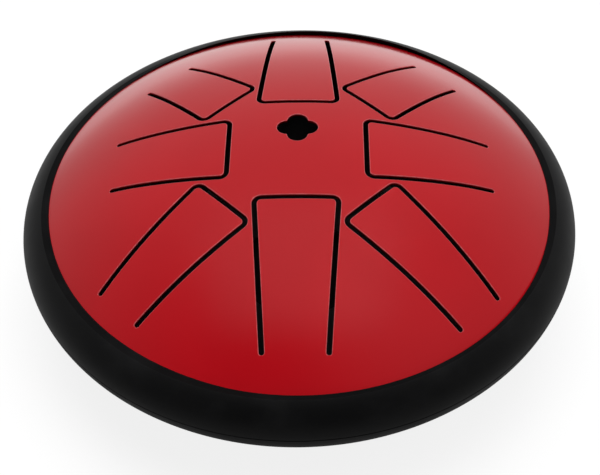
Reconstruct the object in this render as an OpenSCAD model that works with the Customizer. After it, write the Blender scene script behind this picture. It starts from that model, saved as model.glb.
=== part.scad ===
// Steel tongue drum: two pressed steel shells welded edge to edge, eight tongues
// sawn into the upper one, a rubber band round the joint and four screwed-on feet.
// Millimetres. The origin is on the table under the middle of the drum, +Z is up
// and the front tongue points along -Y.

/* [Shells] */
// Diameter of the steel shells at the joint
shell_d = 245; // [236:1:250]
// Thickness of the steel
wall = 1.5; // [1:0.1:2.5]
// Radius of the crown in side view
crown_r = 262; // [240:1:300]
// Slope of the crown where it runs into the shoulder, in degrees
crown_angle = 15; // [13:0.5:17]
// Radius of the shoulder in side view
shoulder_r = 160; // [145:1:180]
// Radius of the turned edge in side view
edge_r = 14; // [12:0.5:16]
// Gap between the lowest steel and the table
ground_gap = 5; // [3:0.5:12]

/* [Tongues] */
// Distance of the tips of the square-on tongues from the middle, over the shell's radius
square_tip_share = 0.2498; // [0.23:0.001:0.29]
// Distance of the tips of the diagonal tongues from the middle, over the shell's radius
diagonal_tip_share = 0.3633; // [0.34:0.001:0.39]
// Width across the slot at the tips of the square-on tongues, over the shell's radius
square_w_share = 0.2971; // [0.26:0.001:0.31]
// Width across the slot at the tips of the diagonal tongues, over the shell's radius
diagonal_w_share = 0.262; // [0.23:0.001:0.28]
// Width that a tongue loses for each millimetre of its length
taper_share = 0.136; // [0.1:0.002:0.16]
// Width of the slots
slot_w = 2.2; // [1:0.1:2.6]
// Diameter of a slot's round end, over the slot's width
slot_end_share = 0.96; // [0.9:0.01:0.98]
// Corner radius along the middle of the slots
corner_r = 3; // [2:0.1:5]
// Length of the front tongue, the second deepest note, over the shell's radius
front_share = 0.5576; // [0.49:0.001:0.57]
// Length of the back tongue, the deepest note, over the shell's radius
back_share = 0.5608; // [0.49:0.001:0.57]
// Length of the front right tongue over the shell's radius
front_right_share = 0.5094; // [0.41:0.001:0.515]
// Length of the front left tongue over the shell's radius
front_left_share = 0.489; // [0.41:0.001:0.515]
// Length of the right tongue over the shell's radius
right_share = 0.4498; // [0.37:0.001:0.54]
// Length of the left tongue over the shell's radius
left_share = 0.4188; // [0.37:0.001:0.54]
// Length of the back right tongue over the shell's radius
back_right_share = 0.3886; // [0.33:0.001:0.49]
// Length of the back left tongue, the highest note, over the shell's radius
back_left_share = 0.3576; // [0.33:0.001:0.49]
// Clear space across the line where a tongue bends
root_gap = 0.05; // [0.03:0.01:0.2]

/* [Sound holes] */
// Size of the four-lobed hole across opposite lobes
rose_w = 18.4; // [16:0.2:24]
// Radius of each lobe
lobe_r = 4.6; // [4.2:0.1:4.8]
// Distance of the four-lobed hole behind the middle
rose_back = 11.4; // [8:0.2:14]
// Diameter of the round port in the lower shell
port_d = 60; // [40:1:80]

/* [Edge band] */
// Distance by which the rubber band stands out beyond the steel
band_cover = 4.5; // [4:0.1:6.5]
// Distance from the edge of the steel in to the opening that the band leaves
window_inset = 8.5; // [7.5:0.5:10.5]
// Height of the band's lip above the steel at the opening
lip_rise = 0.15; // [0.1:0.05:0.4]
// Slope at which the lip climbs outwards, in degrees
lip_slope = 9.4; // [0:0.2:11]
// Height of the band's rounded wall above the inner edge of its lip
band_rise = 1.2; // [1.1:0.1:2]
// Width of the moulding line round the band
line_w = 0.8; // [0.4:0.1:1.4]
// Depth of the moulding line
line_depth = 0.6; // [0.3:0.1:1]

/* [Weld] */
// Radius of the weld bead
bead_r = 1.2; // [0.8:0.1:1.8]
// Space left for the bead inside the band
bead_clear = 0.2; // [0.1:0.05:0.5]

/* [Feet] */
// Slope of the lower shell where each foot stands, in degrees
foot_slope = 13.7; // [12.5:0.1:14]
// Diameter of a foot at the shell
foot_top_d = 23; // [20:0.5:26]
// Diameter of a foot where its taper ends
foot_low_d = 20; // [18:0.5:24]
// Length that is cut off a foot's middle to level it at the table
foot_spare = 5.2; // [4.5:0.1:8]
// Rubber between the screw head and the shell
foot_seat = 5; // [3:0.5:6]
// Diameter of the recess round the screw head
recess_d = 9; // [8.6:0.2:11]
// Thread diameter of a foot screw
screw_d = 4; // [3:0.5:4]
// Length of a foot screw under its head
screw_l = 12; // [12:1:16]
// Diameter of a screw head
head_d = 8; // [6:0.2:8]
// Height of a screw head
head_h = 2.6; // [1.6:0.1:3]
// Width of the cross recess in a screw head
driver_w = 1; // [0.6:0.1:1.4]
// Depth of the cross recess
driver_depth = 1.4; // [0.8:0.1:1.5]
// Length of the cross recess
driver_l = 4.4; // [3:0.2:5]
// Clearance round a screw in the foot and the shell
screw_clear = 0.15; // [0.05:0.05:0.4]
// Clearance between the screw and the nut's bore
thread_clear = 0.05; // [0.02:0.01:0.1]
// Diameter of a washer
washer_d = 9; // [8:0.5:10]
// Thickness of a washer
washer_h = 0.8; // [0.5:0.1:1.2]
// Width of a nut across its flats
nut_w = 7; // [6:0.5:8]
// Thickness of a nut
nut_h = 3.2; // [2.4:0.1:3.4]

/* [Hidden] */
$fn = 180;
// Length by which a cut runs past the piece that it cuts
past = 1;
// Steps in a rounded corner
corner_steps = 10;
// Steps in each arc of a shell's profile
crown_steps = 12;
shoulder_steps = 12;
edge_steps = 10;

// Profile of a shell, measured from the joint plane: the shoulder is tangent to the
// crown, the turned edge is tangent to the shoulder and upright at the joint
shell_r = shell_d / 2;
shoulder_x = (crown_r - shoulder_r) * sin(crown_angle);
edge_x = shell_r - edge_r;
shoulder_z = -sqrt(pow(shoulder_r - edge_r, 2) - pow(edge_x - shoulder_x, 2));
crown_z = shoulder_z - (crown_r - shoulder_r) * cos(crown_angle);
shell_h = crown_z + crown_r;
shoulder_end = atan2(edge_x - shoulder_x, -shoulder_z);
joint_z = ground_gap + shell_h;

// The band: its opening, its outside, the two heights of its lip's slope and its rounded wall
window_r = shell_r - window_inset;
drum_r = shell_r + band_cover;
lip_h = shoulder_z + sqrt(pow(shoulder_r, 2) - pow(window_r - shoulder_x, 2)) + lip_rise;
lip_far_h = lip_h + (drum_r - window_r) * tan(lip_slope);
band_r = lip_h + band_rise;

// The feet: turn of the first from the front, number, and length before the cut at the table
foot_turn = 45;
foot_count = 4;
foot_taper_h = (ground_gap + crown_r * (1 - cos(foot_slope))) / cos(foot_slope) + foot_spare;
// A flat washer bridges the hollow of the shell and meets it with its rim
washer_clear = 0.03;
inner_r = crown_r - wall;
washer_rise = wall + washer_clear + inner_r - sqrt(pow(inner_r, 2) - pow(washer_d / 2, 2));

// Each tongue: turn from the front, then distance of its tip, width at the tip and length
function square_tongue(turn, share) =
    [turn, shell_r * square_tip_share, shell_r * square_w_share, shell_r * share];
function diagonal_tongue(turn, share) =
    [turn, shell_r * diagonal_tip_share, shell_r * diagonal_w_share, shell_r * share];
FRONT = square_tongue(0, front_share);
FRONT_RIGHT = diagonal_tongue(45, front_right_share);
RIGHT = square_tongue(90, right_share);
BACK_RIGHT = diagonal_tongue(135, back_right_share);
BACK = square_tongue(180, back_share);
BACK_LEFT = diagonal_tongue(225, back_left_share);
LEFT = square_tongue(270, left_share);
FRONT_LEFT = diagonal_tongue(315, front_left_share);
TONGUES = [FRONT, FRONT_RIGHT, RIGHT, BACK_RIGHT, BACK, BACK_LEFT, LEFT, FRONT_LEFT];

// Points of a rounded corner at q between p and r
function corner(p, q, r, radius) =
    let (u = (p - q) / norm(p - q), v = (r - q) / norm(r - q),
        half = acos(u * v) / 2,
        middle = q + (u + v) / norm(u + v) * radius / sin(half),
        start = q + u * radius / tan(half) - middle,
        stop = q + v * radius / tan(half) - middle,
        from = atan2(start[1], start[0]),
        turn = atan2(start[0] * stop[1] - start[1] * stop[0], start * stop))
    [for (i = [0:corner_steps]) let (a = from + turn * i / corner_steps)
        middle + radius * [cos(a), sin(a)]];

// Outline of a tongue in plan, pointing along -Y, grown or shrunk sideways by grow
module tongue_plan(tongue, grow, root) {
    tip = tongue[1] - grow;
    length = tongue[3] + grow;
    tip_w = tongue[2] / 2 + grow + grow * taper_share / 2;
    root_w = tip_w - length * taper_share / 2;
    root_y = tongue[1] + tongue[3] - root;
    points = [[-root_w, -root_y], [-tip_w, -tip], [tip_w, -tip], [root_w, -root_y]];
    polygon(concat([points[0]], corner(points[0], points[1], points[2], corner_r + grow),
        corner(points[1], points[2], points[3], corner_r + grow), [points[3]]));
}

// Round ends of a tongue's slots in plan, on its root line
module slot_ends(tongue) {
    for (side = [-1, 1])
        translate([side * (tongue[2] - tongue[3] * taper_share) / 2, -tongue[1] - tongue[3]])
            circle(d = slot_w * slot_end_share, $fn = 48);
}

// Points of an arc, with angles measured from straight up
function arc(middle, radius, from, to, steps) =
    [for (i = [0:steps]) let (a = from + (to - from) * i / steps) middle + radius * [sin(a), cos(a)]];

// A shell's surface in half section, from the top down to the joint, sunk by inset
function profile(inset) = concat(
    arc([0, crown_z], crown_r - inset, 0, crown_angle, crown_steps),
    arc([shoulder_x, shoulder_z], shoulder_r - inset,
        crown_angle + (shoulder_end - crown_angle) / shoulder_steps, shoulder_end, shoulder_steps - 1),
    arc([edge_x, 0], edge_r - inset,
        shoulder_end + (90 - shoulder_end) / edge_steps, 90, edge_steps - 1));

function reversed(points) = [for (i = [len(points) - 1:-1:0]) points[i]];

// Half section of the space inside both shells
module shell_section() {
    polygon(concat(profile(0), [[0, 0]]));
    mirror([0, 1]) polygon(concat(profile(0), [[0, 0]]));
}

// Half section of the weld bead, grown by grow
module bead_section(grow) {
    translate([shell_r, 0]) circle(bead_r + grow, $fn = 48);
}

// One pressed shell, open downwards, on the joint plane
module pressed_shell() {
    rotate_extrude() polygon(concat(profile(0), reversed(profile(wall))));
}

module upper_shell() {
    translate([0, 0, joint_z]) pressed_shell();
}

module lower_side() {
    translate([0, 0, joint_z]) mirror([0, 0, 1]) children();
}

// A shape in plan, as high as the upper shell
module through_top() {
    translate([0, 0, joint_z]) linear_extrude(shell_h + past) children();
}

// Four lobes round a square that joins them
module rose_plan() {
    lobe_place = rose_w / 2 - lobe_r;
    for (turn = [0:90:270]) rotate(turn) translate([lobe_place, 0]) circle(lobe_r);
    square(lobe_place, center = true);
}

// The frame of a foot: on the lower shell's surface, +Z into the drum
module at_foot(turn) {
    lower_side() translate([0, 0, crown_z]) rotate(turn) rotate([foot_slope, 0, 0])
        translate([0, 0, crown_r]) mirror([0, 0, 1]) children();
}

function foot_angle(which) = foot_turn + which * 360 / foot_count;

function foot_angles() = [for (which = [0:foot_count - 1]) foot_angle(which)];

module screw_hole(from, to) {
    translate([0, 0, from]) cylinder(d = screw_d + 2 * screw_clear, h = to - from);
}

module top_shell() {
    color([0.63, 0.06, 0.08]) difference() {
        upper_shell();
        for (tongue = TONGUES) through_top() rotate(tongue[0]) {
            tongue_plan(tongue, slot_w / 2, 0);
            slot_ends(tongue);
        }
        through_top() translate([0, rose_back]) rose_plan();
    }
}

module tongue(which) {
    color([0.66, 0.07, 0.09]) intersection() {
        upper_shell();
        through_top() rotate(which[0]) tongue_plan(which, -slot_w / 2, root_gap);
    }
}

module bottom_shell() {
    color([0.1, 0.1, 0.11]) difference() {
        lower_side() pressed_shell();
        cylinder(d = port_d, h = joint_z);
        for (turn = foot_angles()) at_foot(turn) screw_hole(-past, wall + past);
    }
}

module weld_bead() {
    color([0.2, 0.2, 0.2]) translate([0, 0, joint_z]) rotate_extrude() difference() {
        bead_section(0);
        shell_section();
    }
}

module edge_band() {
    color([0.13, 0.13, 0.14]) translate([0, 0, joint_z]) rotate_extrude() difference() {
        intersection() {
            translate([drum_r - band_r, 0]) circle(band_r);
            polygon([[window_r, -lip_h], [drum_r, -lip_far_h], [drum_r, lip_far_h], [window_r, lip_h]]);
        }
        bead_section(bead_clear);
        polygon([[drum_r + line_depth, -line_w], [drum_r - line_depth, 0], [drum_r + line_depth, line_w]]);
        shell_section();
    }
}

module foot(which) {
    turn = foot_angle(which);
    color([0.09, 0.09, 0.09]) difference() {
        intersection() {
            at_foot(turn) translate([0, 0, -foot_taper_h])
                cylinder(d1 = foot_low_d, d2 = foot_top_d, h = foot_taper_h + wall);
            translate([-drum_r, -drum_r]) cube([2 * drum_r, 2 * drum_r, joint_z]);
        }
        translate([0, 0, joint_z]) rotate_extrude() shell_section();
        at_foot(turn) screw_hole(-foot_taper_h, wall);
        at_foot(turn) translate([0, 0, -foot_taper_h]) cylinder(d = recess_d, h = foot_taper_h - foot_seat);
    }
}

module foot_screws() {
    for (turn = foot_angles()) color([0.7, 0.7, 0.72]) at_foot(turn) translate([0, 0, -foot_seat]) {
        cylinder(d = screw_d, h = screw_l);
        difference() {
            translate([0, 0, -head_h]) cylinder(d = head_d, h = head_h);
            for (side = [0, 90]) rotate(side) translate([-driver_l / 2, -driver_w / 2, -head_h - past])
                cube([driver_l, driver_w, driver_depth + past]);
        }
    }
}

module foot_washers() {
    for (turn = foot_angles()) color([0.72, 0.72, 0.74]) at_foot(turn) translate([0, 0, washer_rise])
        difference() {
            cylinder(d = washer_d, h = washer_h);
            translate([0, 0, -past]) cylinder(d = screw_d + 2 * screw_clear, h = washer_h + 2 * past);
        }
}

module foot_nuts() {
    for (turn = foot_angles()) color([0.72, 0.72, 0.74]) at_foot(turn)
        translate([0, 0, washer_rise + washer_h]) difference() {
            cylinder(d = nut_w / cos(30), h = nut_h, $fn = 6);
            translate([0, 0, -past]) cylinder(d = screw_d + 2 * thread_clear, h = nut_h + 2 * past);
        }
}

top_shell();
tongue(FRONT);  // tongue_front
tongue(FRONT_RIGHT);  // tongue_front_right
tongue(RIGHT);  // tongue_right
tongue(BACK_RIGHT);  // tongue_back_right
tongue(BACK);  // tongue_back
tongue(BACK_LEFT);  // tongue_back_left
tongue(LEFT);  // tongue_left
tongue(FRONT_LEFT);  // tongue_front_left
bottom_shell();
weld_bead();
edge_band();
foot(0);  // foot_front_right
foot(1);  // foot_back_right
foot(2);  // foot_back_left
foot(3);  // foot_front_left
foot_screws();
foot_washers();
foot_nuts();
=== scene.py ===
import logging
import math
from collections.abc import Callable
from dataclasses import dataclass
from enum import Enum

import bpy
import numpy as np
from mathutils import Matrix, Vector
from mathutils.geometry import delaunay_2d_cdt


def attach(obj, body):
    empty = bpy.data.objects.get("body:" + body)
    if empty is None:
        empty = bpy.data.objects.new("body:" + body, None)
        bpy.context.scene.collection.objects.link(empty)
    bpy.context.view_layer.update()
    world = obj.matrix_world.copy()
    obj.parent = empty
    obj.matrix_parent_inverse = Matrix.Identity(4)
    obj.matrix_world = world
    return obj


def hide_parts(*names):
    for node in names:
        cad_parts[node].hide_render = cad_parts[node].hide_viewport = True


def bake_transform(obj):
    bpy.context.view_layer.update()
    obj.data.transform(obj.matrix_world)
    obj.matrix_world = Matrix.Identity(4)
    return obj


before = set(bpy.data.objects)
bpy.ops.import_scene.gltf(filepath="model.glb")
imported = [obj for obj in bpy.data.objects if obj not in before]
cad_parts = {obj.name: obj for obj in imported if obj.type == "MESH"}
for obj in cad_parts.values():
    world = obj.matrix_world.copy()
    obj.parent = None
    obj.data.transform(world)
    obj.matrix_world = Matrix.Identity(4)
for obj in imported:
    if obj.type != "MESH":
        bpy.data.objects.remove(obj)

MM = 0.001
ROOT = "drum_body"
EDGE_MARK = "edge"
QUARTER_TURN = math.pi / 2
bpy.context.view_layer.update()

logging.basicConfig(level=logging.INFO, format="%(name)s: %(message)s")
log = logging.getLogger("tongue_drum")

Point = tuple[float, float]
Place = tuple[float, float, float]
Colour = tuple[float, float, float]
Settings = dict[str, str | bool]
Sockets = dict[str | int, "Wire | float | tuple[float, ...]"]


class Wire:
    """An output socket of a node tree that takes part in arithmetic."""

    def __init__(self, graph: "Graph", socket: bpy.types.NodeSocket) -> None:
        """Keeps the graph and the socket."""
        self.graph = graph
        self.socket = socket

    def _math(self, operation: str, left: "Wire | float", right: "Wire | float") -> "Wire":
        """Adds a Math node with this operation on two values or wires."""
        return self.graph.out("ShaderNodeMath", {"operation": operation}, {0: left, 1: right})

    def __add__(self, other: "Wire | float") -> "Wire":
        """Sum."""
        return self._math("ADD", self, other)

    def __radd__(self, other: float) -> "Wire":
        """Sum with a number on the left."""
        return self._math("ADD", other, self)

    def __sub__(self, other: "Wire | float") -> "Wire":
        """Difference."""
        return self._math("SUBTRACT", self, other)

    def __rsub__(self, other: float) -> "Wire":
        """Difference from a number."""
        return self._math("SUBTRACT", other, self)

    def __mul__(self, other: "Wire | float") -> "Wire":
        """Product."""
        return self._math("MULTIPLY", self, other)

    def __rmul__(self, other: float) -> "Wire":
        """Product with a number on the left."""
        return self._math("MULTIPLY", other, self)

    def __pow__(self, other: "Wire | float") -> "Wire":
        """Power."""
        return self._math("POWER", self, other)

    def __rpow__(self, other: float) -> "Wire":
        """Power of a number."""
        return self._math("POWER", other, self)


@dataclass(frozen=True)
class Pattern:
    """Noise over a surface, and the two levels between which it turns into patches.

    Attributes:
        scale: grains in a metre.
        detail: number of finer layers.
        roughness: strength of the finer layers.
        low: level where a spot begins.
        high: level where it is full.
    """

    scale: float
    detail: float = 2.0
    roughness: float = 0.5
    low: float = 0.0
    high: float = 1.0


class Graph:
    """A node tree under construction."""

    MIX_FACTOR, MIX_LOW, MIX_HIGH, MIX_RESULT = 0, 6, 7, 2

    def __init__(self, tree: bpy.types.NodeTree) -> None:
        """Empties the tree and keeps it."""
        tree.nodes.clear()
        self.tree = tree

    def node(self, kind: str, settings: Settings, inputs: Sockets) -> bpy.types.Node:
        """Adds one node.

        Args:
            kind: the node's type.
            settings: the node's properties, set before its sockets.
            inputs: socket name or index to a value or a wire.

        Returns:
            The node.
        """
        node = self.tree.nodes.new(kind)
        for name, value in settings.items():
            setattr(node, name, value)
        for name, value in inputs.items():
            if isinstance(value, Wire):
                self.tree.links.new(value.socket, node.inputs[name])
            else:
                node.inputs[name].default_value = value
        return node

    def out(
        self, kind: str, settings: Settings, inputs: Sockets, output: str | int = 0
    ) -> Wire:
        """Adds one node and returns one of its outputs as a wire."""
        return Wire(self, self.node(kind, settings, inputs).outputs[output])

    def mix(self, low: Wire | Colour, high: Wire | Colour, factor: Wire | float) -> Wire:
        """Mixes two colours.

        Args:
            low: colour where the factor is 0.
            high: colour where the factor is 1.
            factor: share of the second colour.

        Returns:
            The mixed colour.
        """
        ends = [end if isinstance(end, Wire) else (*end, 1.0) for end in (low, high)]
        inputs = {self.MIX_FACTOR: factor, self.MIX_LOW: ends[0], self.MIX_HIGH: ends[1]}
        return self.out("ShaderNodeMix", {"data_type": "RGBA"}, inputs, self.MIX_RESULT)

    def noise(self, pattern: Pattern) -> Wire:
        """Adds noise that lies still on the part.

        Args:
            pattern: the noise.

        Returns:
            Its value, about 0.5 on average.
        """
        place = self.out("ShaderNodeTexCoord", {}, {}, "Object")
        inputs = {
            "Vector": place, "Scale": pattern.scale,
            "Detail": pattern.detail, "Roughness": pattern.roughness,
        }
        return self.out("ShaderNodeTexNoise", {"noise_dimensions": "3D"}, inputs)

    def patches(self, pattern: Pattern) -> Wire:
        """Patches of a noise, 0 up to the pattern's low level and 1 from its high level."""
        return self.ramp(self.noise(pattern), pattern.low, pattern.high)

    def ramp(self, value: Wire, low: float, high: float, shape: str = "SMOOTHSTEP") -> Wire:
        """Stretches a value smoothly from 0 at low to 1 at high, and holds the ends."""
        inputs = {0: value, 1: low, 2: high, 3: 0.0, 4: 1.0}
        return self.out("ShaderNodeMapRange", {"interpolation_type": shape, "clamp": True}, inputs)

    def stretch(self, value: Wire, low: float, high: float) -> Wire:
        """Stretches a value in a straight line from 0 at low to 1 at high, and holds the ends."""
        return self.ramp(value, low, high, "LINEAR")

    def bump(self, height: Wire, strength: float, distance: float) -> Wire:
        """Turns a height into a normal."""
        inputs = {"Strength": strength, "Distance": distance, "Height": height}
        return self.out("ShaderNodeBump", {}, inputs)


def new_material(name: str) -> tuple[bpy.types.Material, Graph]:
    """Makes an empty node material.

    Args:
        name: the material's name.

    Returns:
        The material and its graph.
    """
    material = bpy.data.materials.new(name)
    material.use_nodes = True
    return material, Graph(material.node_tree)


def finish_surface(graph: Graph, inputs: Sockets) -> None:
    """Ends a material in one Principled shader.

    Args:
        graph: the material's graph.
        inputs: the shader's sockets.
    """
    shader = graph.out("ShaderNodeBsdfPrincipled", {}, inputs, "BSDF")
    graph.node("ShaderNodeOutputMaterial", {}, {"Surface": shader})


@dataclass(frozen=True)
class GlossPaint:
    """Sprayed gloss enamel with a trace of orange peel, paler along cut edges, partly from paint
    drawn thinner there and partly a painted highlight on the rounded rim.

    Attributes:
        name: the material's name.
        colour: the paint.
        shade: the paint where it lies a little thicker.
        thin_paint_and_highlight: the paler paint on a cut edge, partly thinner paint and partly a
            painted highlight.
        chipping: share of the pale edge, paint and painted highlight, that comes and goes along an
            edge.
        roughness: the paint's roughness.
        haze: what its haze adds.
        speck_haze: what a speck of dust in it adds.
        coat_roughness: roughness of the clear top.
        specular: level of the paint's own gloss under the clear top.
        peel_parts: weights of the fine peel, the broad flow and the specks.
        peel_strength: strength of the relief.
        peel_depth: its depth in metres.
    """

    name: str
    colour: Colour = (0.42, 0.0022, 0.007)
    shade: Colour = (0.39, 0.0018, 0.006)
    thin_paint_and_highlight: Colour = (0.56, 0.13, 0.14)
    chipping: float = 0.4
    roughness: float = 0.3
    haze: float = 0.05
    speck_haze: float = 0.04
    coat_roughness: float = 0.16
    specular: float = 0.1
    peel_parts: tuple[float, float, float] = (0.7, 1.5, 0.5)
    peel_strength: float = 0.06
    peel_depth: float = 0.12 * MM

    CLOUDS = Pattern(14.0, 3.0, low=0.35, high=0.65)
    CHIPS = Pattern(900.0, low=0.42, high=0.62)
    SPECKS = Pattern(2600.0, 1.0, low=0.68, high=0.8)
    PEEL = Pattern(700.0)
    FLOW = Pattern(160.0, 1.0)
    HAZE = Pattern(60.0, 3.0)

    def make(self) -> bpy.types.Material:
        """Builds the material.

        Returns:
            The material.
        """
        material, graph = new_material(self.name)
        body = graph.mix(self.shade, self.colour, graph.patches(self.CLOUDS))
        edge = graph.out("ShaderNodeAttribute", {"attribute_name": EDGE_MARK}, {}, "Fac")
        # The pale edge colour is partly paint drawn thinner and partly a painted highlight on the
        # rounded rim.
        thinness_and_highlight = edge * (1 - self.chipping + self.chipping * graph.patches(self.CHIPS))
        speck = graph.patches(self.SPECKS)
        fine, broad, dots = self.peel_parts
        peel = fine * graph.noise(self.PEEL) + broad * graph.noise(self.FLOW) + dots * speck
        haze = self.haze * graph.noise(self.HAZE)
        finish_surface(graph, {
            "Base Color": graph.mix(body, self.thin_paint_and_highlight, thinness_and_highlight),
            "Roughness": self.roughness + haze + self.speck_haze * speck,
            "Normal": graph.bump(peel, self.peel_strength, self.peel_depth),
            "Specular IOR Level": self.specular,
            "Coat Weight": 1.0,
            "Coat Roughness": self.coat_roughness,
        })
        return material


@dataclass(frozen=True)
class SatinPaint:
    """Satin paint on steel.

    Attributes:
        name: the material's name.
        colour: the paint.
        worn: the paint where it has gone pale.
        roughness: its roughness.
        haze: what its haze adds.
        grain_strength: strength of the grain.
        grain_depth: its depth in metres.
    """

    name: str
    colour: Colour = (0.011, 0.011, 0.012)
    worn: Colour = (0.022, 0.021, 0.021)
    roughness: float = 0.42
    haze: float = 0.1
    grain_strength: float = 0.12
    grain_depth: float = 0.1 * MM

    CLOUDS = Pattern(22.0, 4.0, low=0.4, high=0.7)
    GRAIN = Pattern(1500.0)
    HAZE = Pattern(90.0, 3.0)

    def make(self) -> bpy.types.Material:
        """Builds the material.

        Returns:
            The material.
        """
        material, graph = new_material(self.name)
        grain = graph.noise(self.GRAIN)
        finish_surface(graph, {
            "Base Color": graph.mix(self.colour, self.worn, graph.patches(self.CLOUDS)),
            "Roughness": self.roughness + self.haze * graph.noise(self.HAZE),
            "Normal": graph.bump(grain, self.grain_strength, self.grain_depth),
        })
        return material


@dataclass(frozen=True)
class Rubber:
    """Moulded black rubber with a fine grain and a little dust.

    Attributes:
        name: the material's name.
        colour: clean rubber.
        dust: rubber under dust.
        film_dust: how much of it shows in the film.
        speck_dust: how much of it shows in the specks.
        roughness: the rubber's roughness.
        film_haze: what the film adds.
        haze: what the haze adds.
        specular: level of its gloss.
        wide_pores: weight of the wide pores beside the fine ones.
        pore_strength: strength of the relief.
        pore_depth: its depth in metres.
    """

    name: str
    colour: Colour = (0.0032, 0.0032, 0.0034)
    dust: Colour = (0.011, 0.011, 0.0115)
    film_dust: float = 0.4
    speck_dust: float = 0.35
    roughness: float = 0.46
    film_haze: float = 0.09
    haze: float = 0.05
    specular: float = 0.24
    wide_pores: float = 0.6
    pore_strength: float = 0.1
    pore_depth: float = 0.12 * MM

    FILM = Pattern(35.0, 5.0, 0.6, 0.45, 0.75)
    SPECKS = Pattern(1700.0, 1.0, low=0.66, high=0.74)
    FINE_PORES = Pattern(1900.0)
    WIDE_PORES = Pattern(480.0)
    HAZE = Pattern(300.0)

    def make(self) -> bpy.types.Material:
        """Builds the material.

        Returns:
            The material.
        """
        material, graph = new_material(self.name)
        film = graph.patches(self.FILM)
        dust = self.film_dust * film + self.speck_dust * graph.patches(self.SPECKS)
        pores = graph.noise(self.FINE_PORES) + self.wide_pores * graph.noise(self.WIDE_PORES)
        haze = self.haze * graph.noise(self.HAZE)
        finish_surface(graph, {
            "Base Color": graph.mix(self.colour, self.dust, dust),
            "Roughness": self.roughness + self.film_haze * film + haze,
            "Normal": graph.bump(pores, self.pore_strength, self.pore_depth),
            "Specular IOR Level": self.specular,
        })
        return material


@dataclass(frozen=True)
class PlatedSteel:
    """Steel with fine turning marks and a thin tarnish.

    Attributes:
        name: the material's name.
        colour: the bright metal.
        tarnish: the metal under tarnish.
        roughness: the metal's roughness.
        stain_haze: what the tarnish adds.
        mark_strength: strength of the marks.
        mark_depth: their depth in metres.
    """

    name: str
    colour: Colour = (0.56, 0.56, 0.57)
    tarnish: Colour = (0.4, 0.38, 0.34)
    roughness: float = 0.3
    stain_haze: float = 0.18
    mark_strength: float = 0.15
    mark_depth: float = 0.08 * MM

    STAIN = Pattern(260.0, 4.0, 0.6, 0.45, 0.7)
    MARKS = Pattern(2400.0)

    def make(self) -> bpy.types.Material:
        """Builds the material.

        Returns:
            The material.
        """
        material, graph = new_material(self.name)
        stain = graph.patches(self.STAIN)
        finish_surface(graph, {
            "Base Color": graph.mix(self.colour, self.tarnish, stain),
            "Metallic": 1.0,
            "Roughness": self.roughness + self.stain_haze * stain,
            "Normal": graph.bump(graph.noise(self.MARKS), self.mark_strength, self.mark_depth),
        })
        return material


class Finish(Enum):
    """The finishes that the drum's pieces wear."""

    RED = GlossPaint("red_enamel")
    INSIDE = SatinPaint(
        "inner_primer", (0.012, 0.007, 0.007), (0.02, 0.011, 0.01), roughness=0.55)
    BLACK = SatinPaint("black_satin")
    BAND = Rubber("band_rubber")
    LIP = Rubber("lip_rubber", roughness=0.62, specular=0.1)
    FOOT = Rubber(
        "foot_rubber", (0.007, 0.007, 0.007), (0.02, 0.019, 0.018),
        roughness=0.6, pore_strength=0.2)
    ZINC = PlatedSteel("zinc_plate")
    WELD = PlatedSteel("weld_steel", (0.36, 0.35, 0.34), (0.16, 0.13, 0.12), roughness=0.45)

    def material(self) -> bpy.types.Material:
        """The finish's material, made on first use."""
        return bpy.data.materials.get(self.value.name) or self.value.make()


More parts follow.
